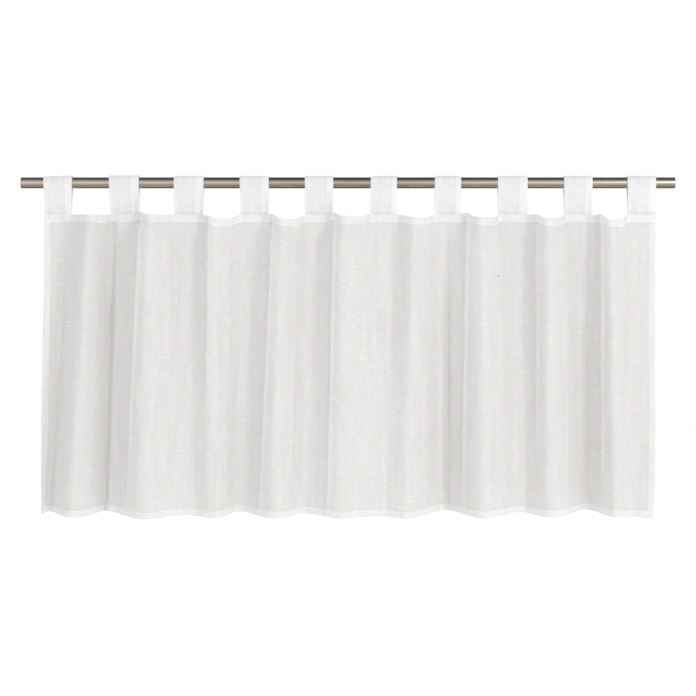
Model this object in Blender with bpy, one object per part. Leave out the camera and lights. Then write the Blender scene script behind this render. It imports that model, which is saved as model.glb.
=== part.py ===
"""Cafe curtain on its rod: a sheer linen-look panel sewn to ten cloth tabs that loop over a round rod.

Metres, +Z up. The origin is on the rod's axis at mid-length, +X runs along the rod and the front of
the cloth faces -Y. The tables are in millimetres and are turned into metres where they are used.
"""

import math
from collections import namedtuple

import bmesh
import bpy

MM = 0.001

# Rod: a plain round bar with both ends cut square.
ROD_DIAMETER = 16.0
ROD_LENGTH = 950.0
ROD_SIDES = 48

# Panel: heights below the rod's axis.
HEADING_DROP = 46.0        # top edge of the heading, where it is sewn to a tab
HEM_DROP = 477.0           # lower edge, where the cloth hangs in the rod's plane
HEM_DROP_PER_FORWARD = 0.18   # the hem hangs this much lower for each mm that a fold stands forward
BODY_THICKNESS = 1.2
HEM_THICKNESS = 2.0        # the heading and the hems are folded over twice
HEADING_HEIGHT = 11.0
BOTTOM_HEM = 10.0
SIDE_HEM = 9.0
HEM_STEP = 1.0             # the width over which a hem's edge drops to the single cloth

# Tabs: a strap of doubled cloth, folded over the rod, both ends sewn behind the heading.
STRAP_THICKNESS = 1.4
ROD_CLEARANCE = 0.4
JOIN_DROP = 42.0           # where a tab's two straps meet
TAIL_DROP = 57.0           # the lower end of a tab, behind the heading
TAIL_GAP = 1.1             # between a tail and the flat of the heading, measured along Y
TAB_FORWARD = 2.4          # how far the heading stands in front of the rod's axis at a tab
FLAT_LEFT = 17.0           # the heading is flat this far to the left of a tab's middle
HOLLOW_TOP_WIDTH = 8.0     # the width of a hollow's bottom, just below the heading
SETTLE = 0.1               # the share of the height in which the hollows narrow to that width
HEAD_SHALLOW = 0.15        # and in which the folds, shallower by this share, open out

# One row for each tab, and for the hollow between two folds that runs down from it: the tab's
# middle, its width, how far its foot is shifted along X, how far the heading is flat to the right
# of its middle, and the hollow's right side below the heading and at the hem.
Tab = namedtuple(
    "Tab", "x width lean flat_right hollow_x hollow_hem_x hollow_forward hollow_width"
)
TABS = [
    Tab(-421.0, 41.0, 0.0, 16.0, -407.0, -434.0, 4.0, 4.0),
    Tab(-325.0, 43.0, 1.5, 13.0, -338.0, -350.0, 3.0, 7.0),
    Tab(-231.0, 43.0, 0.0, 15.0, -230.0, -228.0, 25.0, 12.0),
    Tab(-136.0, 42.0, 0.5, 12.0, -142.0, -156.0, 5.0, 6.0),
    Tab(-42.0, 41.0, 0.0, 9.0, -50.0, -62.0, 15.0, 5.0),
    Tab(52.0, 38.0, -1.0, 15.0, 64.0, 50.0, 32.0, 14.0),
    Tab(145.0, 38.0, 0.0, 15.0, 140.0, 142.0, -3.0, 5.0),
    Tab(239.0, 43.0, 0.5, 18.0, 249.0, 253.0, 9.0, 5.0),
    Tab(334.0, 41.0, 0.0, 14.0, 343.0, 348.0, -6.0, 4.0),
    Tab(426.0, 41.0, 0.5, 15.0, 426.0, 413.0, 33.0, 10.0),
]

# One row for each fold that stands forward between two tabs: its crest at the heading and at the
# hem, how far the heading sags there, and the shoulder on its right where it turns back at the hem.
Fold = namedtuple("Fold", "top_x top_forward sag hem_x hem_forward shoulder_x shoulder_forward")
FOLDS = [
    Fold(-369.0, 38.0, 2.0, -397.0, 39.0, -373.0, 25.0),
    Fold(-284.0, 38.0, 2.0, -292.0, 49.0, -262.0, 36.0),
    Fold(-196.0, 28.0, 7.0, -193.0, 41.0, -177.0, 27.0),
    Fold(-94.0, 35.0, 8.0, -106.0, 43.0, -84.0, 31.0),
    Fold(-4.0, 35.0, 4.0, -8.0, 43.0, 20.0, 34.0),
    Fold(99.0, 26.0, 5.0, 83.0, 44.0, 108.0, 26.0),
    Fold(194.0, 38.0, 6.0, 195.0, 43.0, 222.0, 26.0),
    Fold(289.0, 35.0, 7.0, 292.0, 38.0, 316.0, 22.0),
    Fold(378.0, 37.0, 9.0, 386.0, 38.0, 396.0, 36.0),
]
SHOULDER_PLACE = 0.5       # of the way from a crest to the next tab's flat, at the heading
SHOULDER_FORWARD = 0.6     # of the crest's stand, at the heading

# A fold line runs down the whole panel, from its place and stand at the heading to those at the
# hem. It lies at head_x in the heading itself and at top_x just below. The two side edges are fold
# lines as well.
Line = namedtuple("Line", "head_x top_x top_forward sag hem_x hem_forward")
LEFT_EDGE = Line(-441.0, -441.0, TAB_FORWARD, 0.0, -444.0, 20.0)
RIGHT_EDGE = Line(447.0, 447.0, TAB_FORWARD, 0.0, 439.0, 44.0)

COLUMN_WIDTH = 8.0         # the panel's columns are about this wide at the heading
ROW_SHARES = (0.06, 0.11, 0.22, 0.36, 0.5, 0.64, 0.78, 0.9)   # rows of the body, as shares of its height
STRAP_STEPS = 12           # segments of a strap around the rod, foot to foot

LINEN = (0.80, 0.79, 0.77)
NICKEL = (0.55, 0.50, 0.44)


def clear_scene():
    for obj in list(bpy.data.objects):
        bpy.data.objects.remove(obj, do_unlink=True)


def make_material(name, colour, roughness, metallic):
    material = bpy.data.materials.new(name)
    material.use_nodes = True
    shader = material.node_tree.nodes["Principled BSDF"]
    shader.inputs["Base Color"].default_value = (*colour, 1.0)
    shader.inputs["Roughness"].default_value = roughness
    shader.inputs["Metallic"].default_value = metallic
    return material


def add_object(name, bm, material):
    """Turns a finished bmesh into a named object with its faces pointing out."""
    bmesh.ops.recalc_face_normals(bm, faces=bm.faces)
    mesh = bpy.data.meshes.new(name)
    bm.to_mesh(mesh)
    bm.free()
    mesh.materials.append(material)
    obj = bpy.data.objects.new(name, mesh)
    bpy.context.scene.collection.objects.link(obj)
    return obj


def mix(a, b, share):
    return a + (b - a) * share


def ease(share):
    """A smooth start and a smooth end between 0 and 1."""
    return share * share * (3.0 - 2.0 * share)


def smooth_curve(places, values):
    """A curve through the values that never overshoots them, as a function of a span and a share."""
    steps = [(b - a) / (q - p) for a, b, p, q in zip(values, values[1:], places, places[1:])]
    slopes = [steps[0]]
    for before, after in zip(steps, steps[1:]):
        turns = before * after <= 0.0
        slopes.append(0.0 if turns else 2.0 * before * after / (before + after))
    slopes.append(steps[-1])

    def at(span, share):
        width = places[span + 1] - places[span]
        bend_first = (slopes[span] - steps[span]) * width * share * (1.0 - share) ** 2
        bend_second = (steps[span] - slopes[span + 1]) * width * share ** 2 * (1.0 - share)
        return mix(values[span], values[span + 1], share) + bend_first + bend_second

    return at


def fold_lines():
    """The lines of all folds, left to right: two along each hollow, then a crest and a shoulder."""
    lines = []
    for number, tab in enumerate(TABS):
        hollow_left = tab.hollow_x - HOLLOW_TOP_WIDTH
        hem_left = tab.hollow_hem_x - tab.hollow_width
        lines += [
            Line(tab.x - FLAT_LEFT, hollow_left, TAB_FORWARD, 0.0, hem_left, tab.hollow_forward),
            Line(
                tab.x + tab.flat_right, tab.hollow_x, TAB_FORWARD, 0.0,
                tab.hollow_hem_x, tab.hollow_forward,
            ),
        ]
        if number < len(FOLDS):
            fold, following = FOLDS[number], TABS[number + 1]
            lines += [
                Line(fold.top_x, *fold[:5]),
                Line(
                    mix(fold.top_x, following.x - FLAT_LEFT, SHOULDER_PLACE),
                    mix(fold.top_x, following.hollow_x - HOLLOW_TOP_WIDTH, SHOULDER_PLACE),
                    fold.top_forward * SHOULDER_FORWARD, fold.sag,
                    fold.shoulder_x, fold.shoulder_forward,
                ),
            ]
    lines[0] = LEFT_EDGE
    lines[-1] = RIGHT_EDGE
    return lines


LINES = fold_lines()
HEAD_PLACES = [line.head_x for line in LINES]
HEM_PLACES = [line.hem_x for line in LINES]
TOP_SAG = smooth_curve(HEAD_PLACES, [line.sag for line in LINES])
HEM_FORWARD = smooth_curve(HEM_PLACES, [line.hem_forward for line in LINES])


def profile(down):
    """The cloth's cross-section at a share `down` of its height: the lines' places, its stand."""
    settling = 1.0 - ease(min(1.0, down / SETTLE))
    places = [
        mix(line.top_x, line.hem_x, down) + (line.head_x - line.top_x) * settling for line in LINES
    ]
    stands = [
        mix(mix(line.top_forward, line.hem_forward, ease(down)), TAB_FORWARD, HEAD_SHALLOW * settling)
        for line in LINES
    ]
    return places, smooth_curve(places, stands)


def forward_at(x, down):
    """How far the cloth stands forward at a place x of one height."""
    places, forward = profile(down)
    span = 0
    while span < len(places) - 2 and x > places[span + 1]:
        span += 1
    share = (x - places[span]) / (places[span + 1] - places[span])
    return forward(span, min(max(share, 0.0), 1.0))


def head_place(span, share):
    return mix(HEAD_PLACES[span], HEAD_PLACES[span + 1], share)


def panel_columns():
    """The columns of the panel, as pairs of a span and a share along it, with both edges of the
    step that each side hem makes."""
    columns = []
    for span, (left, right) in enumerate(zip(HEAD_PLACES, HEAD_PLACES[1:])):
        count = round((right - left) / COLUMN_WIDTH)
        columns += [(span, step / count) for step in range(count)]
    last = len(LINES) - 2
    first_width = HEAD_PLACES[1] - HEAD_PLACES[0]
    last_width = HEAD_PLACES[-1] - HEAD_PLACES[-2]
    for inset in (SIDE_HEM, SIDE_HEM + HEM_STEP):
        columns += [(0, inset / first_width), (last, 1.0 - inset / last_width)]
    columns.append((last, 1.0))
    return sorted(columns)


def panel_rows():
    """The rows of the panel, as shares of its height, with both edges of each hem's step."""
    height = HEM_DROP - HEADING_DROP
    heading = [0.0, HEADING_HEIGHT / height, (HEADING_HEIGHT + HEM_STEP) / height]
    hem = [1.0 - (BOTTOM_HEM + HEM_STEP) / height, 1.0 - BOTTOM_HEM / height, 1.0]
    return heading + list(ROW_SHARES) + hem


def make_panel(material):
    """The panel is one sheet on the folds, thickened about its middle, with thicker hems."""
    columns = panel_columns()
    rows = panel_rows()
    bm = bmesh.new()
    grid = []
    for down in rows:
        places, forward = profile(down)
        row = []
        for span, share in columns:
            x = mix(places[span], places[span + 1], share)
            top = HEADING_DROP + TOP_SAG(span, share)
            bottom = HEM_DROP + HEM_DROP_PER_FORWARD * HEM_FORWARD(span, share)
            z = -mix(top, bottom, down)
            row.append(bm.verts.new((x * MM, -forward(span, share) * MM, z * MM)))
        grid.append(row)
    for upper, lower in zip(grid, grid[1:]):
        for index in range(len(columns) - 1):
            bm.faces.new((upper[index], lower[index], lower[index + 1], upper[index + 1]))
    obj = add_object("curtain_panel", bm, material)

    hems = obj.vertex_groups.new(name="hems")
    thin = BODY_THICKNESS / HEM_THICKNESS
    inner_left = HEAD_PLACES[0] + SIDE_HEM + HEM_STEP / 2
    inner_right = HEAD_PLACES[-1] - SIDE_HEM - HEM_STEP / 2
    for row in range(len(rows)):
        in_band = row < 2 or row >= len(rows) - 2
        for column, (span, share) in enumerate(columns):
            in_side = not inner_left < head_place(span, share) < inner_right
            weight = 1.0 if in_band or in_side else thin
            hems.add([row * len(columns) + column], weight, "REPLACE")
    thicken = obj.modifiers.new("cloth", "SOLIDIFY")
    thicken.thickness = HEM_THICKNESS * MM
    thicken.offset = 0.0
    thicken.use_even_offset = True
    thicken.vertex_group = "hems"
    return obj


def strap_outline(offset):
    """The strap's path up the front, over the rod and down the back, as pairs of y and z, `offset`
    outside the middle of its thickness. Below it both straps run straight to where they meet."""
    radius = ROD_DIAMETER / 2 + ROD_CLEARANCE + STRAP_THICKNESS / 2 + offset
    touch = math.acos(radius / (JOIN_DROP + offset))   # from straight down to where a strap leaves the rod
    steps = STRAP_STEPS - 2
    angles = [mix(touch, 2 * math.pi - touch, step / steps) for step in range(steps + 1)]
    return [(-radius * math.sin(angle), -radius * math.cos(angle)) for angle in angles]


def make_tab(name, tab, material):
    """A loop around the rod whose two straps join into a tail behind the heading."""
    half = STRAP_THICKNESS / 2
    outer = [(-STRAP_THICKNESS, -JOIN_DROP)]
    outer += strap_outline(half)
    outer += [(STRAP_THICKNESS, -JOIN_DROP)]
    outer += [(STRAP_THICKNESS, -TAIL_DROP), (-STRAP_THICKNESS, -TAIL_DROP)]
    inner = [(0.0, -JOIN_DROP)] + strap_outline(-half)
    behind = TAIL_GAP + HEM_THICKNESS / 2 + STRAP_THICKNESS

    edge = tab.width / 2
    bm = bmesh.new()
    sections = []
    for across in (-edge, -FLAT_LEFT, 0.0, tab.flat_right, (tab.flat_right + edge) / 2, edge):
        section = []
        for outline in (outer, inner):
            ring = []
            for y, z in outline:
                down = min(max(-z / JOIN_DROP, 0.0), 1.0)
                x = tab.x + across + tab.lean * down
                foot = behind - forward_at(x, 0.0)
                ring.append(bm.verts.new((x * MM, (y + foot * down) * MM, z * MM)))
            section.append(ring)
        sections.append(section)

    for left, right in zip(sections, sections[1:]):
        for ring_left, ring_right in zip(left, right):
            for index, vert in enumerate(ring_left):
                bm.faces.new((vert, ring_left[index - 1], ring_right[index - 1], ring_right[index]))
    for outer_ring, inner_ring in (sections[0], sections[-1]):
        straps = len(inner_ring)
        for index in range(straps):
            bm.faces.new((
                outer_ring[index], outer_ring[index + 1],
                inner_ring[(index + 1) % straps], inner_ring[index],
            ))
        bm.faces.new((inner_ring[0], outer_ring[straps], *outer_ring[straps + 1:], outer_ring[0]))
    return add_object(name, bm, material)


def make_rod(material):
    """A round bar along X, centred on the origin."""
    bm = bmesh.new()
    bmesh.ops.create_cone(
        bm, cap_ends=True, segments=ROD_SIDES,
        radius1=ROD_DIAMETER / 2 * MM, radius2=ROD_DIAMETER / 2 * MM, depth=ROD_LENGTH * MM,
    )
    rod = add_object("rod", bm, material)
    rod.rotation_euler = (0.0, math.pi / 2, 0.0)
    rod.data.shade_smooth()
    rod.data.set_sharp_from_angle(angle=math.radians(40))
    return rod


def main():
    clear_scene()
    linen = make_material("white_linen", LINEN, 0.9, 0.0)
    nickel = make_material("brushed_nickel", NICKEL, 0.35, 1.0)
    make_rod(nickel)
    make_panel(linen)
    for number, tab in enumerate(TABS, start=1):
        make_tab(f"tab_{number:02d}", tab, linen)


main()
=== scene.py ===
# %% [markdown]
# # A sheer cafe curtain on a rod
#
# A cafe curtain is a short curtain that covers the lower half of a window. This one is a single
# panel of linen-look voile with ten cloth tabs that loop over a round metal rod. The solid model
# already fixes where every piece is and how large it is. This lesson gives each piece the surface
# of the real thing: the cloth's soft folds and creases, its hems and stitches, its slubby weave,
# and the brushed metal of the rod.

# %% Load the frame
import math
from collections import namedtuple

import bpy
import numpy as np
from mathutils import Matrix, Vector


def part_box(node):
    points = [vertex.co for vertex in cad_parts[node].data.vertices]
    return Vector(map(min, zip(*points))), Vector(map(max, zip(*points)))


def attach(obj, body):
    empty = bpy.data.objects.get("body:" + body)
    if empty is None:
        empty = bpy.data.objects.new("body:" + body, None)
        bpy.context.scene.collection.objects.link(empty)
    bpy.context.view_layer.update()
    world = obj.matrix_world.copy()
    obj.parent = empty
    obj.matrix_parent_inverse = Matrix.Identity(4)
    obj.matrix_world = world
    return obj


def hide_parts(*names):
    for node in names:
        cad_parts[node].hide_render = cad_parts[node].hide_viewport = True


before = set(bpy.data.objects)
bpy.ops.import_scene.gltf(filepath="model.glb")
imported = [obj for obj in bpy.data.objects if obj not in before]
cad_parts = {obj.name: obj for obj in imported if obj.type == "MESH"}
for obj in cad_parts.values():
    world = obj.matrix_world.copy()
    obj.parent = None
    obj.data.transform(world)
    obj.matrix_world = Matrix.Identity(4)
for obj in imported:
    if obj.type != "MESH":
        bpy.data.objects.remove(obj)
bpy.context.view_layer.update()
MM = 0.001
print("frame:", sorted(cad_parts))

# %% [markdown]
# ## Helpers
#
# Colours are written as sRGB hex values, as a paint chart or a web page gives them. The renderer
# adds up light, so it needs linear values, and one function converts them. Another adds a node to
# a material with its settings and its links, so that a material reads as a list of its nodes.


# %% Colours and nodes
def linear(hex_colour):
    """An sRGB hex colour as the linear RGBA that a node takes."""
    channels = [int(hex_colour[place:place + 2], 16) / 255 for place in (0, 2, 4)]
    curve = [c / 12.92 if c <= 0.04045 else ((c + 0.055) / 1.055) ** 2.4 for c in channels]
    return (*curve, 1.0)


def add_node(tree, kind, settings=None, **inputs):
    """Adds a node. A setting is an attribute of the node. An input is a value or a socket, under the
    input's name, or in_ and its number where several inputs have one name."""
    node = tree.nodes.new(kind)
    for name, value in (settings or {}).items():
        setattr(node, name, value)
    for name, value in inputs.items():
        by_number = name.startswith("in_")
        socket = node.inputs[int(name[3:]) if by_number else name.replace("_", " ")]
        if isinstance(value, bpy.types.NodeSocket):
            tree.links.new(value, socket)
        else:
            socket.default_value = value
    return node


def new_material(name):
    """An empty material with its output node."""
    material = bpy.data.materials.new(name)
    material.use_nodes = True
    material.node_tree.nodes.clear()
    return material, material.node_tree, material.node_tree.nodes.new("ShaderNodeOutputMaterial")


def start_piece():
    """Nothing selected, nothing active, object mode: an operator then acts on the new piece only."""
    bpy.ops.object.select_all(action="DESELECT")
    bpy.context.view_layer.objects.active = None


def finish_piece(piece, name, material, slot, *nodes):
    """Names a piece, gives it its material, makes it ride on the body, and hides the solids that it stands
    for.
    """
    piece.name = piece.data.name = name
    piece.data.materials.clear()
    piece.data.materials.append(material)
    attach(piece, "root")
    if nodes:
        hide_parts(*nodes)
    print(f"{name}: {len(piece.data.polygons)} faces")


start_piece()
print("helpers ready")

# %% [markdown]
# ## How the cloth folds
#
# A tab-top curtain hangs in one fold between each pair of tabs. At the heading the cloth lies flat
# at each tab and stands forward between them. Lower down the folds drift and deepen. The two
# tables hold this: a row for each tab with the hollow that runs down from it, and a row for each
# fold. They are the solid model's own tables, so the visible cloth lies where that model has it.
# Only the last two columns of the tabs are added: how far a tab's left and right side stand off
# the top of the rod, because real loops sit a little askew. All the tables are in millimetres.

# %% The tabs and the folds
HEADING_DROP = 46.0
HEM_DROP = 477.0
HEM_DROP_PER_FORWARD = 0.18
TAB_FORWARD = 2.4
FLAT_LEFT = 17.0
HOLLOW_TOP_WIDTH = 8.0
SETTLE = 0.1
HEAD_SHALLOW = 0.15
SHOULDER_PLACE = 0.5
SHOULDER_FORWARD = 0.6

Tab = namedtuple(
    "Tab", "x width lean flat_right hollow_x hollow_hem_x hollow_forward hollow_width lift_left lift_right"
)
TABS = [
    Tab(-421.0, 41.0, 0.0, 16.0, -407.0, -434.0, 4.0, 4.0, 0.0, 1.2),
    Tab(-325.0, 43.0, 1.5, 13.0, -338.0, -350.0, 3.0, 7.0, 1.6, 1.4),
    Tab(-231.0, 43.0, 0.0, 15.0, -230.0, -228.0, 25.0, 12.0, 0.9, 0.9),
    Tab(-136.0, 42.0, 0.5, 12.0, -142.0, -156.0, 5.0, 6.0, 0.9, 0.5),
    Tab(-42.0, 41.0, 0.0, 9.0, -50.0, -62.0, 15.0, 5.0, 0.7, 0.7),
    Tab(52.0, 38.0, -1.0, 15.0, 64.0, 50.0, 32.0, 14.0, 0.5, 0.9),
    Tab(145.0, 38.0, 0.0, 15.0, 140.0, 142.0, -3.0, 5.0, 0.9, 0.7),
    Tab(239.0, 43.0, 0.5, 18.0, 249.0, 253.0, 9.0, 5.0, 0.7, 1.0),
    Tab(334.0, 41.0, 0.0, 14.0, 343.0, 348.0, -6.0, 4.0, 0.8, 0.8),
    Tab(426.0, 41.0, 0.5, 15.0, 426.0, 413.0, 33.0, 10.0, 1.0, 0.6),
]

Fold = namedtuple("Fold", "top_x top_forward sag hem_x hem_forward shoulder_x shoulder_forward")
FOLDS = [
    Fold(-369.0, 38.0, 2.0, -397.0, 39.0, -373.0, 25.0),
    Fold(-284.0, 38.0, 2.0, -292.0, 49.0, -262.0, 36.0),
    Fold(-196.0, 28.0, 7.0, -193.0, 41.0, -177.0, 27.0),
    Fold(-94.0, 35.0, 8.0, -106.0, 43.0, -84.0, 31.0),
    Fold(-4.0, 35.0, 4.0, -8.0, 43.0, 20.0, 34.0),
    Fold(99.0, 26.0, 5.0, 83.0, 44.0, 108.0, 26.0),
    Fold(194.0, 38.0, 6.0, 195.0, 43.0, 222.0, 26.0),
    Fold(289.0, 35.0, 7.0, 292.0, 38.0, 316.0, 22.0),
    Fold(378.0, 37.0, 9.0, 386.0, 38.0, 396.0, 36.0),
]

Line = namedtuple("Line", "head_x top_x top_forward sag hem_x hem_forward")
LEFT_EDGE = Line(-441.0, -441.0, TAB_FORWARD, 0.0, -444.0, 20.0)
RIGHT_EDGE = Line(447.0, 447.0, TAB_FORWARD, 0.0, 439.0, 44.0)


def mix(a, b, share):
    """A share of the way from one value to another."""
    return a + (b - a) * share


def ease(share):
    """A smooth start and a smooth end between 0 and 1."""
    return share * share * (3.0 - 2.0 * share)


def fold_lines():
    """The lines of all folds, left to right: two along each hollow, then a crest and a shoulder."""
    lines = []
    for number, tab in enumerate(TABS):
        hollow_left = tab.hollow_x - HOLLOW_TOP_WIDTH
        hem_left = tab.hollow_hem_x - tab.hollow_width
        lines += [
            Line(tab.x - FLAT_LEFT, hollow_left, TAB_FORWARD, 0.0, hem_left, tab.hollow_forward),
            Line(
                tab.x + tab.flat_right, tab.hollow_x, TAB_FORWARD, 0.0,
                tab.hollow_hem_x, tab.hollow_forward,
            ),
        ]
        if number < len(FOLDS):
            fold, following = FOLDS[number], TABS[number + 1]
            lines += [
                Line(fold.top_x, *fold[:5]),
                Line(
                    mix(fold.top_x, following.x - FLAT_LEFT, SHOULDER_PLACE),
                    mix(fold.top_x, following.hollow_x - HOLLOW_TOP_WIDTH, SHOULDER_PLACE),
                    fold.top_forward * SHOULDER_FORWARD, fold.sag,
                    fold.shoulder_x, fold.shoulder_forward,
                ),
            ]
    lines[0] = LEFT_EDGE
    lines[-1] = RIGHT_EDGE
    return lines


LINES = np.array(fold_lines())
HEAD_X, TOP_X, TOP_FORWARD, TOP_SAG, HEM_X, HEM_FORWARD = LINES.T
print(len(LINES), "fold lines")

# %% [markdown]
# A smooth curve through the fold lines gives the cloth's cross-section. Its slope at each line is
# the harmonic mean of the slopes beside it and zero at a crest or a hollow, so the curve never
# overshoots: a fold never stands further forward than its own crest.


# %% The curve through the fold lines
def curve_values(places, values, span, share):
    """The smooth curve through the values, at shares of the way along spans of the places."""
    widths = np.diff(places)
    steps = np.diff(values) / widths
    before, after = steps[:-1], steps[1:]
    same_way = before * after > 0
    total = np.where(same_way, before + after, 1.0)
    inner = np.where(same_way, 2.0 * before * after / total, 0.0)
    slopes = np.concatenate(([steps[0]], inner, [steps[-1]]))
    first = (slopes[span] - steps[span]) * widths[span] * share * (1 - share) ** 2
    second = (steps[span] - slopes[span + 1]) * widths[span] * share ** 2 * (1 - share)
    return mix(values[span], values[span + 1], share) + first + second


def cross_section(down, span, share):
    """Place and stand of the cloth's columns at a share of its height."""
    settling = 1.0 - ease(min(1.0, down / SETTLE))
    places = mix(TOP_X, HEM_X, down) + (HEAD_X - TOP_X) * settling
    stands = mix(TOP_FORWARD, HEM_FORWARD, ease(down))
    stands = mix(stands, TAB_FORWARD, HEAD_SHALLOW * settling)
    return mix(places[span], places[span + 1], share), curve_values(places, stands, span, share)


def columns_at(x):
    """The spans and shares of places along the heading."""
    span = np.clip(np.searchsorted(HEAD_X, x) - 1, 0, len(HEAD_X) - 2)
    return span, np.clip((x - HEAD_X[span]) / (HEAD_X[span + 1] - HEAD_X[span]), 0.0, 1.0)


FINE = 3000               # points across, to measure the length round the folds
fine_span, fine_share = columns_at(np.linspace(HEAD_X[0], HEAD_X[-1], FINE))


def arc_length(x, forward):
    """The length round the folds from the left edge to each point of a cross-section."""
    return np.concatenate(([0.0], np.cumsum(np.hypot(np.diff(x), np.diff(forward)))))


for down in (0.0, 0.5, 1.0):
    round_folds = arc_length(*cross_section(down, fine_span, fine_share))[-1]
    print(f"cloth at {down:.0%} of its height: {round_folds:.0f} mm round the folds")

# %% [markdown]
# ## Creases
#
# Voile takes sharp, narrow creases where a fold was pressed or where the cloth buckles beside a
# tab. Each is a line down the cloth with a soft ridge or, with a negative height, a soft trough.
# They run from the heading or start lower, and fade out at their ends. The table gives where each
# lies across the cloth at its upper and lower end, how far down it starts and ends, its half-width
# and its height, all in millimetres but for the two shares of the panel's height.

# %% The creases
Crease = namedtuple("Crease", "upper_x lower_x start end half_width height")
CREASES = [
    Crease(-301.0, -320.0, -0.2, 1.1, 2.8, 2.8),
    Crease(-202.0, -205.0, -0.2, 0.7, 2.8, 2.0),
    Crease(-109.0, -128.0, -0.2, 1.1, 2.8, 2.6),
    Crease(-21.0, -30.0, -0.2, 1.1, 2.8, 2.6),
    Crease(171.0, 164.0, -0.2, 1.1, 2.8, 2.6),
    Crease(272.0, 271.0, -0.2, 0.9, 2.8, 2.0),
    Crease(364.0, 366.0, -0.2, 1.1, 2.8, 3.4),
    Crease(-341.0, -355.0, -0.1, 1.4, 5.0, -10.0),
    Crease(143.0, 144.0, 0.0, 1.3, 5.0, -7.0),
    Crease(345.0, 347.0, 0.2, 1.3, 5.0, -5.0),
    Crease(-408.0, -440.0, -0.1, 1.4, 9.0, -8.0),
]


def crease_height(x, down):
    """How far all creases together move the cloth forward."""
    total = np.zeros_like(x)
    for crease in CREASES:
        along = (down - crease.start) / (crease.end - crease.start)
        if 0.0 < along < 1.0:
            middle = mix(crease.upper_x, crease.lower_x, down)
            fade = min(1.0, 5.0 * along * (1.0 - along))
            total += crease.height * fade * np.exp(-((x - middle) / crease.half_width) ** 2)
    return total


print(len(CREASES), "creases")

# %% [markdown]
# ## The panel
#
# The panel is a rectangle of cloth, so it starts as a flat grid and its rows and columns are moved
# onto the folds. The grid keeps the cloth's own directions, which lets a second set of coordinates
# hold each point's place on the flat cloth. The weave and the hems are drawn in those, so threads
# follow the folds. Rows crowd together at the heading and the hem, where the cloth is folded over
# twice and a seam pulls it in.

# %% The panel's grid
BODY_THICKNESS = 0.5
HEM_THICKNESS = 1.3
HEADING_HEIGHT = 11.0
BOTTOM_HEM = 10.0
SIDE_HEM = 9.0
HEM_STEP = 1.0                                      # across this a hem drops to the single cloth
COLUMNS = 760
BODY_ROWS = 36
HEIGHT = HEM_DROP - HEADING_DROP
BAND = np.array([0.0, 0.6, 2.0, 4.5, 7.0])          # rows across a band, from its free edge
SEAM = np.array([-1.6, -0.7, 0.0, 0.5, 1.2, 2.4])   # rows across a seam, from the seam line

heading_rows = np.concatenate((BAND, HEADING_HEIGHT + SEAM))
hem_rows = HEIGHT - np.concatenate((BAND, BOTTOM_HEM + SEAM))[::-1]
body_rows = np.linspace(heading_rows[-1], hem_rows[0], BODY_ROWS + 2)[1:-1]
rows = np.concatenate((heading_rows, body_rows, hem_rows)) / HEIGHT

CUT_WIDTH = float(arc_length(*cross_section(0.5, fine_span, fine_share))[-1])
seam_steps = [SIDE_HEM - HEM_STEP / 2, SIDE_HEM + HEM_STEP / 2]
side_seams = seam_steps + [CUT_WIDTH - place for place in seam_steps]
cut_columns = np.sort(np.concatenate((np.linspace(0.0, CUT_WIDTH, COLUMNS), side_seams)))
print(f"{len(rows)} rows, {len(cut_columns)} columns, cut {CUT_WIDTH:.0f} by {HEIGHT:.0f} mm")


# %% The panel's shape
RIPPLE_HEIGHT = 0.35
RIPPLE_ACROSS = 9.0       # a wave's length over two pi, across the cloth and down it
RIPPLE_DOWN = 55.0
SWAY_ACROSS = 40.0        # and over which the waves drift sideways
SWAY_DOWN = 70.0


def ripple(x, z):
    """Small waves of the hanging cloth, longer down than across."""
    across = np.sin(x / RIPPLE_ACROSS + np.sin(z / SWAY_DOWN))
    return RIPPLE_HEIGHT * across * np.sin(z / RIPPLE_DOWN + x / SWAY_ACROSS)


def columns_on_folds(down, *curves):
    """The place and stand of the cloth's columns, spread evenly round the folds at one height,
    and the values there of other curves along the folds."""
    x, forward = cross_section(down, fine_span, fine_share)
    arc = arc_length(x, forward)
    place = cut_columns * arc[-1] / CUT_WIDTH
    return [np.interp(place, arc, curve) for curve in (x, forward, *curves)]


LOBE_HEIGHT = 1.3         # the heading's free edge rises by this share of a ridge's height
LOBE_ASIDE = 1.0          # to the right of the ridge
LOBE_HALF_WIDTH = 5.5


def heading_lift(x):
    """How far the pinched ridges beside the tabs push the heading's free edge up."""
    total = np.zeros_like(x)
    for ridge in CREASES:
        if ridge.height > 0.0:
            away = (x - ridge.upper_x - LOBE_ASIDE) / LOBE_HALF_WIDTH
            total += LOBE_HEIGHT * ridge.height * np.exp(-away ** 2)
    return total


def panel_rows_to_points():
    """The panel's points, row by row, in millimetres."""
    fine_sag = curve_values(HEAD_X, TOP_SAG, fine_span, fine_share)
    head_x, _, head_sag = columns_on_folds(0.0, fine_sag)
    top = HEADING_DROP + head_sag - heading_lift(head_x)
    bottom = HEM_DROP + HEM_DROP_PER_FORWARD * columns_on_folds(1.0)[1]
    points = []
    for down in rows:
        x, forward = columns_on_folds(down)
        z = -mix(top, bottom, down)
        forward = forward + crease_height(x, down) + ripple(x, z)
        points.append(np.column_stack((x, -forward, z)))
    return np.array(points)


panel_points = panel_rows_to_points()
start_piece()
bpy.ops.mesh.primitive_grid_add(x_subdivisions=len(cut_columns) - 1, y_subdivisions=len(rows) - 1, size=1.0)
panel = bpy.context.object
flat = np.empty(len(panel.data.vertices) * 3)
panel.data.vertices.foreach_get("co", flat)
flat = flat.reshape(-1, 3)
column_of = np.rint((flat[:, 0] + 0.5) * (len(cut_columns) - 1)).astype(int)
row_of = np.rint((0.5 - flat[:, 1]) * (len(rows) - 1)).astype(int)
panel.data.vertices.foreach_set("co", (panel_points[row_of, column_of] * MM).ravel())
panel.data.update()
print("panel grid:", len(panel.data.vertices), "points")


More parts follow.
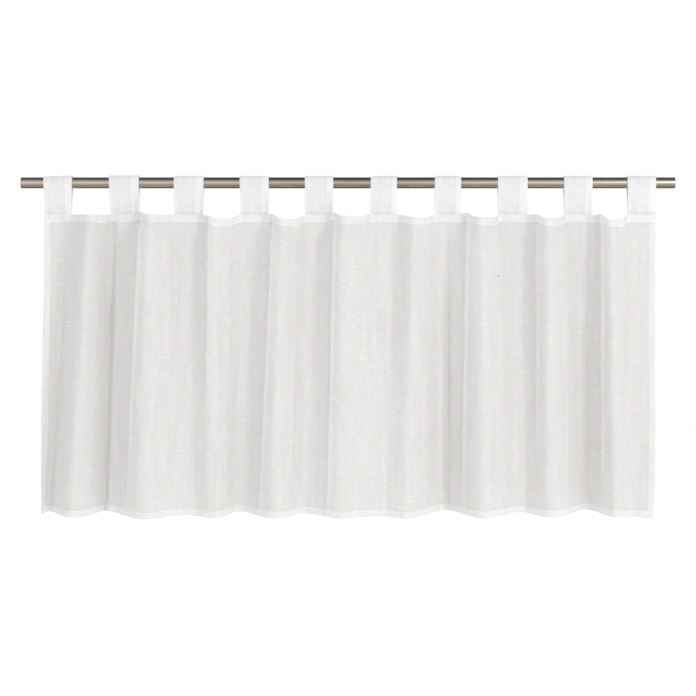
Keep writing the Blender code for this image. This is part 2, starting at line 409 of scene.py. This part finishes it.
# %% The panel's cut coordinates and thickness
def set_cut_map(piece, across, along):
    """Stores each point's place on the flat cloth, in metres, as the map named cut."""
    layer = piece.data.uv_layers.get("cut") or piece.data.uv_layers.new(name="cut")
    for old in [other for other in piece.data.uv_layers if other.name != "cut"]:
        piece.data.uv_layers.remove(old)
    layer = piece.data.uv_layers["cut"]
    corner_point = np.empty(len(piece.data.loops), dtype=int)
    piece.data.loops.foreach_get("vertex_index", corner_point)
    layer.data.foreach_set("uv", (np.column_stack((across, along))[corner_point] * MM).ravel())


def apply_thickness(piece, thickness, shares):
    """Gives a sheet its thickness about its middle, `shares` of it at each point."""
    group = piece.vertex_groups.new(name="thickness")
    for value in np.unique(shares):
        group.add(np.flatnonzero(shares == value).tolist(), float(value), "REPLACE")
    solid = piece.modifiers.new("cloth", "SOLIDIFY")
    solid.thickness = thickness * MM
    solid.offset = 0.0
    solid.vertex_group = "thickness"
    bpy.context.view_layer.objects.active = piece
    piece.select_set(True)
    bpy.ops.object.modifier_apply(modifier="cloth")
    piece.vertex_groups.clear()
    bpy.ops.object.shade_smooth_by_angle(angle=math.radians(50))


HEM_REACH = 1.02          # a hem is thick to just past its seam
cut_x = cut_columns[column_of]
cut_y = rows[row_of] * HEIGHT
set_cut_map(panel, cut_x, cut_y)
from_edge = np.minimum.reduce((
    cut_x / SIDE_HEM, (CUT_WIDTH - cut_x) / SIDE_HEM, cut_y / HEADING_HEIGHT, (HEIGHT - cut_y) / BOTTOM_HEM,
))
in_hem = from_edge < HEM_REACH
apply_thickness(panel, HEM_THICKNESS, np.where(in_hem, 1.0, BODY_THICKNESS / HEM_THICKNESS))
print("panel:", len(panel.data.polygons), "faces with its thickness")

# %% [markdown]
# ## The tabs
#
# Each tab is a strap of cloth, doubled and turned so that its raw edges are inside. It goes up in
# front, over the rod and down behind, and both of its ends are sewn in behind the heading. A strap
# is a ribbon again: its path is a few straight runs and one arc, and the ribbon is thickened. The
# raw edges lie folded inside along its right-hand side, so it is thicker and whiter there.

# %% The path of a strap
ROD_RADIUS = (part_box("rod")[1].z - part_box("rod")[0].z) / 2 / MM
STRAP_THICKNESS = 1.1
STRAP_GAP = 0.25          # between the rod and the strap, and between its two ends
JOIN_DROP = 43.0
TAIL_DROP = 56.5
ARC_STEPS = 36
RUN_STEPS = 14
ACROSS = 24
EDGE_SHARE = 0.72         # a strap's thickness at its middle, beside that at its sewn edge


def strap_path():
    """The strap's middle line as y, z and a share of foot: front end up, over the rod, down."""
    radius = ROD_RADIUS + STRAP_GAP + STRAP_THICKNESS / 2
    touch = math.acos(radius / JOIN_DROP)
    angles = np.linspace(touch, 2 * math.pi - touch, ARC_STEPS + 1)
    arc_y, arc_z = -radius * np.sin(angles), -radius * np.cos(angles)
    end = (STRAP_THICKNESS + STRAP_GAP) / 2
    tail_z = np.linspace(-TAIL_DROP, -JOIN_DROP, 5)
    run = np.linspace(0.0, 1.0, RUN_STEPS + 1)[1:-1]
    front_y = np.concatenate((np.full(5, -end), mix(-end, arc_y[0], run)))
    front_z = np.concatenate((tail_z, mix(-JOIN_DROP, arc_z[0], run)))
    y = np.concatenate((front_y, arc_y, -front_y[::-1]))
    z = np.concatenate((front_z, arc_z, front_z[::-1]))
    return y, z, np.clip(-z / JOIN_DROP, 0.0, 1.0)


strap_y, strap_z, strap_foot = strap_path()
strap_length = np.concatenate(([0.0], np.cumsum(np.hypot(np.diff(strap_y), np.diff(strap_z)))))
print(f"a strap is {strap_length[-1]:.0f} mm long, cut")


# %% One strap
BEHIND_HEADING = HEM_THICKNESS / 2 + STRAP_GAP + STRAP_THICKNESS + STRAP_GAP / 2
FOOT_TAPER = 1.5          # a strap is this much narrower at its foot
WAVE_HEIGHT = 0.25        # of the strap's soft waves, below the rod
WAVE_DOWN = 9.0
WAVES_ACROSS = 9.0
FIRM_EDGE = 0.40          # shares of the width from the middle, where a strap grows thicker at its
FIRM_FADE = 0.08          # two edges
SEAM_START = 0.24         # and where its sewn side begins
SEAM_FADE = 0.03


def make_tab(number, tab):
    """A strap over the rod, its foot following the heading behind it."""
    start_piece()
    bpy.ops.mesh.primitive_grid_add(x_subdivisions=ACROSS, y_subdivisions=len(strap_y) - 1, size=1.0)
    strap = bpy.context.object
    place = np.array([vertex.co for vertex in strap.data.vertices])
    across = place[:, 0]
    step = np.rint((place[:, 1] + 0.5) * (len(strap_y) - 1)).astype(int)
    foot, y, z = strap_foot[step], strap_y[step], strap_z[step]
    x = tab.x + tab.lean * foot + across * (tab.width - FOOT_TAPER * foot)
    forward = cross_section(0.0, *columns_at(x))[1]
    over_rod = np.clip((z + ROD_RADIUS) / ROD_RADIUS / 2, 0.0, 1.0)
    lift = mix(tab.lift_left, tab.lift_right, across + 0.5) * over_rod
    wave = WAVE_HEIGHT * np.sin(across * WAVES_ACROSS + number * 2.1) * np.sin(z / WAVE_DOWN + number)
    y = y + (BEHIND_HEADING - forward) * foot + wave * (1 - over_rod)
    strap.data.vertices.foreach_set("co", (np.column_stack((x, y, z + lift)) * MM).ravel())
    strap.data.update()
    set_cut_map(strap, (across + 0.5) * tab.width, strap_length[step])
    edge = np.clip((np.abs(across) - FIRM_EDGE) / FIRM_FADE, 0.0, 1.0)
    seam_side = np.clip((across - SEAM_START) / SEAM_FADE, 0.0, 1.0)
    shares = np.round(mix(EDGE_SHARE, 1.0, np.maximum(edge, seam_side)), 2)
    apply_thickness(strap, STRAP_THICKNESS, shares)
    return strap


tabs = [make_tab(number, tab) for number, tab in enumerate(TABS, start=1)]
print(len(tabs), "straps")

# %% [markdown]
# ## The seams
#
# The heading and the hems are held by one row of running stitches each. A stitch is a short bead of
# thread. It is modelled once, and its copies are laid end to end along each seam, a little sunk
# into the cloth's front, and joined to one mesh.

# %% One stitch
STITCH_LENGTH = 2.3
STITCH_PITCH = 3.0
STITCH_INSET = 0.9        # from a seam to its row of stitches
THREAD = 0.32             # its diameter

start_piece()
bpy.ops.mesh.primitive_uv_sphere_add(segments=6, ring_count=5, radius=0.5)
bead = bpy.context.object
bead_points = np.array([vertex.co[:] for vertex in bead.data.vertices])
in_order = np.lexsort(np.round(bead_points, 6).T)   # a new sphere's points and faces come in any order,
new_number = np.argsort(in_order)                   # so they are sorted: each run gives the same mesh
bead_points = bead_points[in_order]
bead_faces = []
for face in bead.data.polygons:
    corners = new_number[list(face.vertices)]
    bead_faces.append(tuple(np.roll(corners, -corners.argmin()).tolist()))
bead_faces.sort()
bpy.data.objects.remove(bead, do_unlink=True)
print("one stitch:", len(bead_faces), "faces")


# %% The rows of stitches
def stitch_row(path, outward):
    """Stitches along a path: their middles, their directions and the way out of the cloth."""
    length = np.concatenate(([0.0], np.cumsum(np.linalg.norm(np.diff(path, axis=0), axis=1))))
    count = int(length[-1] / STITCH_PITCH)
    at = (np.arange(count) + 0.5) * length[-1] / count
    middle, way, out = (
        np.column_stack([np.interp(at, length, column) for column in table.T])
        for table in (path, np.gradient(path, length, axis=0), outward)
    )
    return middle, way / np.linalg.norm(way, axis=1)[:, None], out / np.linalg.norm(out, axis=1)[:, None]


def sheet_point_rows(row_numbers, column_numbers):
    """The points of the panel along a seam, and the way out of its front."""
    line = panel_points[row_numbers, column_numbers]
    along_x = panel_points[row_numbers, np.minimum(column_numbers + 1, len(cut_columns) - 1)]
    along_x = along_x - panel_points[row_numbers, np.maximum(column_numbers - 1, 0)]
    outward = np.column_stack((along_x[:, 1], -along_x[:, 0], np.zeros(len(along_x))))
    return line, outward / np.linalg.norm(outward, axis=1)[:, None]


def nearest(values, value):
    """The number of the nearest of the values."""
    return int(np.abs(values - value).argmin())


all_columns = np.arange(len(cut_columns))
all_rows = np.arange(len(rows))
seams = [
    (np.full(len(cut_columns), nearest(rows * HEIGHT, drop)), all_columns)
    for drop in (HEADING_HEIGHT - STITCH_INSET, HEIGHT - BOTTOM_HEM + STITCH_INSET)
] + [
    (all_rows, np.full(len(rows), nearest(cut_columns, inset)))
    for inset in (SIDE_HEM - STITCH_INSET, CUT_WIDTH - SIDE_HEM + STITCH_INSET)
]
stitch_points = []
for row_numbers, column_numbers in seams:
    path, outward = sheet_point_rows(row_numbers, column_numbers)
    middle, way, out = stitch_row(path + outward * HEM_THICKNESS / 2, outward)
    side = np.cross(out, way)
    local = bead_points[None, :, :] * (STITCH_LENGTH, THREAD, THREAD)
    stitch_points.append(
        middle[:, None, :] + local[..., :1] * way[:, None, :] + local[..., 1:2] * side[:, None, :]
        + local[..., 2:] * out[:, None, :]
    )
stitch_points = np.concatenate(stitch_points)
stitch_faces = [
    tuple(corner + number * len(bead_points) for corner in face)
    for number in range(len(stitch_points)) for face in bead_faces
]
stitch_mesh = bpy.data.meshes.new("stitches")
stitch_mesh.from_pydata((stitch_points.reshape(-1, 3) * MM).tolist(), [], stitch_faces)
stitches = bpy.data.objects.new("stitches", stitch_mesh)
bpy.context.scene.collection.objects.link(stitches)
print(len(stitch_points), "stitches")

# %% [markdown]
# ## The rod
#
# A round tube, cut square at both ends and lightly deburred. The solid model's rod has flat facets,
# which would show in a metal, so a finer cylinder with a small bevel at each end stands for it.

# %% The rod's shape
ROD_SIDES = 96
DEBURR = 0.5

rod_low, rod_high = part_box("rod")
rod_middle = (rod_low + rod_high) / 2
start_piece()
bpy.ops.mesh.primitive_cylinder_add(
    vertices=ROD_SIDES, radius=ROD_RADIUS * MM, depth=rod_high.x - rod_low.x,
    location=rod_middle, rotation=(0.0, math.pi / 2, 0.0),
)
rod = bpy.context.object
bpy.ops.object.transform_apply(location=True, rotation=True, scale=True)
bpy.ops.object.mode_set(mode="EDIT")
bpy.ops.mesh.select_mode(type="EDGE")
bpy.ops.mesh.select_all(action="DESELECT")
bpy.ops.object.mode_set(mode="OBJECT")
for edge in rod.data.edges:
    first, second = (rod.data.vertices[corner].co.x for corner in edge.vertices)
    edge.select = abs(first - second) < 0.1 * MM
bpy.ops.object.mode_set(mode="EDIT")
bpy.ops.mesh.bevel(offset=DEBURR * MM, segments=3, affect="EDGES")
bpy.ops.object.mode_set(mode="OBJECT")
bpy.ops.object.shade_smooth_by_angle(angle=math.radians(40))
print("rod:", len(rod.data.polygons), "faces")

# %% [markdown]
# ## Linen-look voile
#
# Voile is a thin plain weave, and this one has slubs: short thick places in some of its threads,
# which show as light dashes across and down. The cloth lets a little light straight through
# between its threads, and scatters much of the rest to both sides. So its shader is mostly a
# scattering surface, partly lit from behind, with a share that is simply open. Where the cloth is
# folded over twice, in the heading and the hems, it is closer and whiter.

# %% The voile
CLOTH_WHITE = linear("F8F9FA")
CLOTH_SHADE = linear("DFDDDC")
TINT_ROSE = linear("FDFAFC")
TINT_GREEN = linear("FAFDF9")
NEP_COLOUR = linear("6F6A65")
THREAD_WHITE = linear("FBFAF8")
SLUB_WIDTH = 1.5          # mm: a thread is about 0.3 mm wide, too fine to show, so only its slubs are
SLUB_LENGTH = 15.0        # drawn, and as wide as a few threads
SLUB_START = 0.53         # the noise's values between which a slub swells
SLUB_FULL = 0.76
SLUB_LIGHT = 0.2
SLUB_SOLID = 0.03         # how much more closed the cloth is in a slub
SLUB_RELIEF = 0.08        # mm
WARP_SHARE = 0.6          # how strong a slub down the cloth is, beside one across it
STREAK_WIDTH = 7.0        # mm: a streak is a few dozen threads that are spun or set closer
STREAK_LENGTH = 90.0
STREAK_LIGHT = 0.26
TINT_WIDTH = 9.0
TINT_LENGTH = 30.0
NEP_PLACE = (217.0, 0.0, -136.0)   # mm: a knot of darker fibre that was spun into a thread
NEP_RADIUS = 1.8

Look = namedtuple("Look", "solid white")   # how much of the cloth is thread, and how white it is
SINGLE = Look(0.82, 0.0)
HEM = Look(0.97, 0.28)
STRAP = Look(0.92, 0.50)
STRAP_SEAM = Look(0.98, 0.62)
THROUGH = 0.3             # the share of the light that the threads scatter on to the other side
TAIL_PAINTED_LIGHT = 0.3          # painted light: how much whiter the heading is painted where a strap's end lies behind it, lifting the shade there


def stretched_noise(tree, cut, across, along, seed):
    """Noise drawn out along one direction of the weave."""
    stretch = add_node(
        tree, "ShaderNodeMapping", Vector=cut, Scale=(1000 / across, 1000 / along, 1.0),
        Location=(seed, seed / 3, 0.0),
    )
    return add_node(
        tree, "ShaderNodeTexNoise", {"noise_dimensions": "2D"}, Vector=stretch.outputs["Vector"],
        Scale=1.0, Detail=1.0, Roughness=0.4,
    ).outputs["Fac"]


def slub_threads(tree, cut, across, along, seed):
    """Light dashes in one direction of the weave: 1 in a slub, 0 between."""
    return add_node(
        tree, "ShaderNodeMapRange", {"interpolation_type": "SMOOTHSTEP"},
        in_0=stretched_noise(tree, cut, across, along, seed), in_1=SLUB_START, in_2=SLUB_FULL,
    ).outputs["Result"]


def band_mask(tree, coordinates, bands):
    """1 in bands of the coordinates: each an axis, a place on it and a width to both sides, in mm."""
    axes = add_node(tree, "ShaderNodeSeparateXYZ", Vector=coordinates)
    mask = 0.0
    for axis, place, width in bands:
        band = add_node(
            tree, "ShaderNodeMath", {"operation": "COMPARE"}, in_0=axes.outputs[axis], in_1=place * MM,
            in_2=width * MM,
        )
        mask = add_node(
            tree, "ShaderNodeMath", {"operation": "MAXIMUM"}, in_0=mask, in_1=band.outputs["Value"],
        ).outputs["Value"]
    return mask


print(f"slubs of {SLUB_LENGTH:.0f} by {SLUB_WIDTH} mm, streaks of {STREAK_LENGTH:.0f} by {STREAK_WIDTH} mm")


# %% The weave's slubs and its colour
def weave(tree, cut, whiteness):
    """The slubs of the weave and its colour, at least as white as a share says."""
    weft = slub_threads(tree, cut, SLUB_LENGTH, SLUB_WIDTH, 3.0)
    warp = slub_threads(tree, cut, SLUB_WIDTH, 2 * SLUB_LENGTH, 17.0)
    thin_warp = add_node(tree, "ShaderNodeMath", {"operation": "MULTIPLY"}, in_0=warp, in_1=WARP_SHARE)
    slubs = add_node(
        tree, "ShaderNodeMath", {"operation": "MAXIMUM"}, in_0=weft, in_1=thin_warp.outputs["Value"],
    ).outputs["Value"]
    streaks = stretched_noise(tree, cut, STREAK_WIDTH, STREAK_LENGTH, 41.0)
    streak_light = add_node(
        tree, "ShaderNodeMath", {"operation": "MULTIPLY"}, in_0=streaks, in_1=STREAK_LIGHT,
    )
    light = add_node(
        tree, "ShaderNodeMath", {"operation": "MULTIPLY_ADD"}, in_0=slubs, in_1=SLUB_LIGHT,
        in_2=streak_light.outputs["Value"],
    )
    whiter = add_node(
        tree, "ShaderNodeMath", {"operation": "ADD", "use_clamp": True}, in_0=light.outputs["Value"],
        in_1=whiteness,
    )
    plain = add_node(
        tree, "ShaderNodeMix", {"data_type": "RGBA"}, in_0=whiter.outputs["Value"], in_6=CLOTH_SHADE,
        in_7=CLOTH_WHITE,
    )
    tint = add_node(
        tree, "ShaderNodeMix", {"data_type": "RGBA"},
        in_0=stretched_noise(tree, cut, TINT_WIDTH, TINT_LENGTH, 63.0), in_6=TINT_ROSE, in_7=TINT_GREEN,
    )
    colour = add_node(
        tree, "ShaderNodeMix", {"data_type": "RGBA", "blend_type": "MULTIPLY"}, in_0=1.0,
        in_6=plain.outputs[2], in_7=tint.outputs[2],
    )
    return slubs, colour.outputs[2]


def with_nep(tree, place, colour):
    """The colour with one small knot of darker fibre."""
    flat_place = add_node(
        tree, "ShaderNodeVectorMath", {"operation": "MULTIPLY"}, in_0=place, in_1=(1.0, 0.0, 1.0),
    )
    away = add_node(
        tree, "ShaderNodeVectorMath", {"operation": "DISTANCE"}, in_0=flat_place.outputs["Vector"],
        in_1=tuple(value * MM for value in NEP_PLACE),
    )
    knot = add_node(
        tree, "ShaderNodeMapRange", in_0=away.outputs["Value"], in_1=0.3 * NEP_RADIUS * MM,
        in_2=NEP_RADIUS * MM, in_3=0.7, in_4=0.0,
    )
    return add_node(
        tree, "ShaderNodeMix", {"data_type": "RGBA"}, in_0=knot.outputs["Result"], in_6=colour,
        in_7=NEP_COLOUR,
    ).outputs[2]


print("weave ready")


# %% The cloth's shader
def cloth_material(name, open_look, folded_look, bands, painted_light_places=()):
    """A slubby cloth with one look, and another in its folded bands. Where the first of those bands crosses
    the places in the last argument, more cloth lies behind it, and the colour there gets painted light: it
    is painted whiter, lifting the shade that the folds and the strap behind give it."""
    material, tree, output = new_material(name)
    cut = add_node(tree, "ShaderNodeUVMap", {"uv_map": "cut"}).outputs["UV"]
    mask = band_mask(tree, cut, bands)
    place = add_node(tree, "ShaderNodeTexCoord").outputs["Object"]
    # Painted light: 1 in the heading's band over each strap's end, where the cloth is painted whiter to
    # lift the shade there.
    behind = add_node(
        tree, "ShaderNodeMath", {"operation": "MULTIPLY"}, in_0=band_mask(tree, cut, bands[:1]),
        in_1=band_mask(tree, place, painted_light_places),
    )
    folded_white = add_node(
        tree, "ShaderNodeMapRange", in_0=mask, in_3=open_look.white, in_4=folded_look.white,
    )
    white = add_node(
        tree, "ShaderNodeMath", {"operation": "MULTIPLY_ADD"}, in_0=behind.outputs["Value"],
        in_1=TAIL_PAINTED_LIGHT, in_2=folded_white.outputs["Result"],
    )
    solid = add_node(
        tree, "ShaderNodeMapRange", in_0=mask, in_3=open_look.solid, in_4=folded_look.solid,
    )
    slubs, plain_colour = weave(tree, cut, white.outputs["Value"])
    colour = with_nep(tree, place, plain_colour)
    threads = add_node(
        tree, "ShaderNodeMath", {"operation": "MULTIPLY_ADD"}, in_0=slubs, in_1=SLUB_SOLID,
        in_2=solid.outputs["Result"],
    )
    relief = add_node(
        tree, "ShaderNodeBump", Strength=0.35, Distance=SLUB_RELIEF * MM, Height=slubs,
    ).outputs["Normal"]
    front = add_node(
        tree, "ShaderNodeBsdfPrincipled", Base_Color=colour, Roughness=0.85, Normal=relief,
        Sheen_Weight=0.15, Sheen_Roughness=0.5, IOR=1.5, Specular_IOR_Level=0.25,
    )
    through = add_node(tree, "ShaderNodeBsdfTranslucent", Color=colour, Normal=relief)
    cloth = add_node(
        tree, "ShaderNodeMixShader", in_0=THROUGH, in_1=front.outputs["BSDF"],
        in_2=through.outputs["BSDF"],
    )
    opening = add_node(tree, "ShaderNodeBsdfTransparent")
    surface = add_node(
        tree, "ShaderNodeMixShader", in_0=threads.outputs["Value"], in_1=opening.outputs["BSDF"],
        in_2=cloth.outputs["Shader"],
    )
    tree.links.new(surface.outputs["Shader"], output.inputs["Surface"])
    return material


HEM_BANDS = [
    ("Y", 0.0, HEADING_HEIGHT), ("Y", HEIGHT, BOTTOM_HEM), ("X", 0.0, SIDE_HEM), ("X", CUT_WIDTH, SIDE_HEM),
]
STRAP_BANDS = [("X", 45.0, 14.5)]     # from 30.5 mm across to past a strap's right edge
# Where each strap's end lies behind the heading: the heading gets painted light there, painted whiter.
PAINTED_LIGHT_TAILS = [("X", tab.x, tab.width / 2) for tab in TABS]
voile = cloth_material("woven_linen_look_voile", SINGLE, HEM, HEM_BANDS, PAINTED_LIGHT_TAILS)
doubled_voile = cloth_material("doubled_voile_straps", STRAP, STRAP_SEAM, STRAP_BANDS)
print("cloth:", voile.name, doubled_voile.name)

# %% [markdown]
# ## Sewing thread
#
# Spun polyester thread, white, with a soft shine. It is smoother than the cloth, so its stitches
# catch a little more light.

# %% The thread
thread, thread_tree, thread_output = new_material("spun_polyester_thread")
thread_coordinates = add_node(thread_tree, "ShaderNodeTexCoord").outputs["Object"]
ply = add_node(
    thread_tree, "ShaderNodeTexNoise", Vector=thread_coordinates, Scale=1500.0, Detail=1.0,
)
thread_colour = add_node(
    thread_tree, "ShaderNodeMix", {"data_type": "RGBA"}, in_0=ply.outputs["Fac"],
    in_6=linear("EDEBE6"), in_7=THREAD_WHITE,
).outputs[2]
thread_shader = add_node(
    thread_tree, "ShaderNodeBsdfPrincipled", Base_Color=thread_colour, Roughness=0.6,
)
thread_tree.links.new(thread_shader.outputs["BSDF"], thread_output.inputs["Surface"])
print("thread ready")

# %% [markdown]
# ## Brushed nickel
#
# The rod is steel with a nickel plating of a warm champagne tone, brushed along its length before
# it was plated. Brushing leaves fine scratches a few tenths of a millimetre wide and centimetres
# long, which stretch the reflections round the rod and leave a soft highlight along it.

# %% The nickel
nickel, nickel_tree, nickel_output = new_material("brushed_champagne_nickel")
nickel_place = add_node(nickel_tree, "ShaderNodeTexCoord").outputs["Object"]
along_rod = add_node(nickel_tree, "ShaderNodeMapping", Vector=nickel_place, Scale=(18.0, 900.0, 900.0))
scratches = add_node(
    nickel_tree, "ShaderNodeTexNoise", Vector=along_rod.outputs["Vector"], Scale=1.0, Detail=3.0,
    Roughness=0.6,
)
nickel_colour = add_node(
    nickel_tree, "ShaderNodeMix", {"data_type": "RGBA"}, in_0=scratches.outputs["Fac"],
    in_6=linear("AFA293"), in_7=linear("D9CEC0"),
).outputs[2]
nickel_rough = add_node(
    nickel_tree, "ShaderNodeMapRange", in_0=scratches.outputs["Fac"], in_3=0.16, in_4=0.30,
)
nickel_relief = add_node(
    nickel_tree, "ShaderNodeBump", Strength=0.15, Distance=0.05 * MM, Height=scratches.outputs["Fac"],
)
nickel_shader = add_node(
    nickel_tree, "ShaderNodeBsdfPrincipled", Base_Color=nickel_colour, Metallic=1.0,
    Roughness=nickel_rough.outputs["Result"], Normal=nickel_relief.outputs["Normal"],
)
nickel_tree.links.new(nickel_shader.outputs["BSDF"], nickel_output.inputs["Surface"])
print("nickel ready")

# %% [markdown]
# ## Pieces on the frame
#
# Every piece rides on the part's one body and hides the solids that it stands for. The panel and the tabs
# are sheets.

# %% Riding on the body
finish_piece(panel, "curtain_cloth", voile, "linen", "curtain_panel")
finish_piece(stitches, "hem_stitches", thread, "linen")
finish_piece(rod, "brushed_rod", nickel, "nickel", "rod")
for number, (strap, tab) in enumerate(zip(tabs, TABS), start=1):
    finish_piece(strap, f"tab_strap_{number:02d}", doubled_voile, "linen", f"tab_{number:02d}")

# %% [markdown]
# ## Floor, light and camera
#
# A pale floor and a white room: the curtain hangs in even, soft light, brighter in front than
# behind, with one large softbox in front of it on the right, so that the folds' left sides fall
# into a soft shade. Metal mirrors a darker room, as it would stand among things. The camera looks
# straight at the cloth from its middle height.

# %% The floor
start_piece()
bpy.ops.mesh.primitive_plane_add(size=12.0, location=(0.0, 0.0, -0.85))
floor = bpy.context.object
floor.name = "floor"
floor_material, floor_tree, floor_output = new_material("matt_white_floor")
floor_shader = add_node(
    floor_tree, "ShaderNodeBsdfPrincipled", Base_Color=linear("F9F9F8"), Roughness=0.9,
    Emission_Color=linear("FFFFFF"), Emission_Strength=0.35,
)
floor_tree.links.new(floor_shader.outputs["BSDF"], floor_output.inputs["Surface"])
floor.data.materials.append(floor_material)
floor.visible_glossy = False
print("floor ready")

# %% The lights
world = bpy.data.worlds.new("white_room")
bpy.context.scene.world = world
world.use_nodes = True
room = world.node_tree
room.nodes.clear()
room_output = room.nodes.new("ShaderNodeOutputWorld")
seen = add_node(room, "ShaderNodeLightPath")
direction = add_node(room, "ShaderNodeTexCoord").outputs["Generated"]
axes = add_node(room, "ShaderNodeSeparateXYZ", Vector=direction)
around = add_node(
    room, "ShaderNodeMapRange", in_0=axes.outputs["Y"], in_1=-0.4, in_2=0.4, in_3=1.20, in_4=0.74,
).outputs["Result"]
above = add_node(
    room, "ShaderNodeMapRange", in_0=axes.outputs["Z"], in_1=0.1, in_2=0.95, in_3=1.0, in_4=0.1,
).outputs["Result"]
below = add_node(
    room, "ShaderNodeMapRange", in_0=axes.outputs["Z"], in_1=-1.0, in_2=0.1, in_3=0.3, in_4=1.0,
).outputs["Result"]
behind = add_node(
    room, "ShaderNodeMapRange", in_0=axes.outputs["Y"], in_1=0.0, in_2=0.7, in_3=1.0, in_4=0.3,
).outputs["Result"]
from_middle = add_node(room, "ShaderNodeMath", {"operation": "ABSOLUTE"}, in_0=axes.outputs["X"])
sideways = add_node(
    room, "ShaderNodeMapRange", in_0=from_middle.outputs["Value"], in_1=0.0, in_2=0.16, in_3=0.75,
    in_4=1.2,
).outputs["Result"]
mirror_light = above
for share in (below, behind, sideways):
    mirror_light = add_node(
        room, "ShaderNodeMath", {"operation": "MULTIPLY"}, in_0=mirror_light, in_1=share,
    ).outputs["Value"]
dull = add_node(room, "ShaderNodeBackground", Strength=around, Color=linear("F7F7F8"))
mirrored = add_node(room, "ShaderNodeBackground", Strength=mirror_light, Color=linear("FFFFFF"))
open_room = add_node(room, "ShaderNodeBackground", Strength=1.0, Color=(1.0, 1.0, 1.0, 1.0))
glossy = add_node(
    room, "ShaderNodeMixShader", in_0=seen.outputs["Is Glossy Ray"], in_1=dull.outputs["Background"],
    in_2=mirrored.outputs["Background"],
)
lit = add_node(
    room, "ShaderNodeMixShader", in_0=seen.outputs["Is Camera Ray"], in_1=glossy.outputs["Shader"],
    in_2=open_room.outputs["Background"],
)
room.links.new(lit.outputs["Shader"], room_output.inputs["Surface"])


def add_lamp(name, place, size, power, aim=(0.0, 0.0, -0.24)):
    """A square softbox at a place, aimed at a point of the curtain."""
    start_piece()
    bpy.ops.object.light_add(type="AREA", location=place)
    lamp = bpy.context.object
    lamp.name = name
    lamp.data.size = size
    lamp.data.energy = power
    aim_at(lamp, aim)


def aim_at(thing, aim):
    """Turns a lamp or a camera so that it looks at a point."""
    away = np.array(thing.location) - np.array(aim)
    flat_length = math.hypot(away[0], away[1])
    thing.rotation_euler = (math.atan2(flat_length, away[2]), 0.0, math.atan2(away[0], -away[1]))


add_lamp("key_softbox", (3.05, -3.8, 0.74), 1.6, 52.0)
print("lamps ready")

# %% The camera
CAMERA_DISTANCE = 3.0
PICTURE_WIDTH = 1.0116    # metres across the picture at the rod
SENSOR = 36.0

start_piece()
bpy.ops.object.camera_add(location=(0.0, -CAMERA_DISTANCE, -0.24), rotation=(math.pi / 2, 0.0, 0.0))
camera = bpy.context.object
camera.data.sensor_width = SENSOR
camera.data.lens = SENSOR * CAMERA_DISTANCE / PICTURE_WIDTH
bpy.context.scene.camera = camera
bpy.context.scene.view_settings.view_transform = "Standard"
print(f"camera lens {camera.data.lens:.1f} mm")
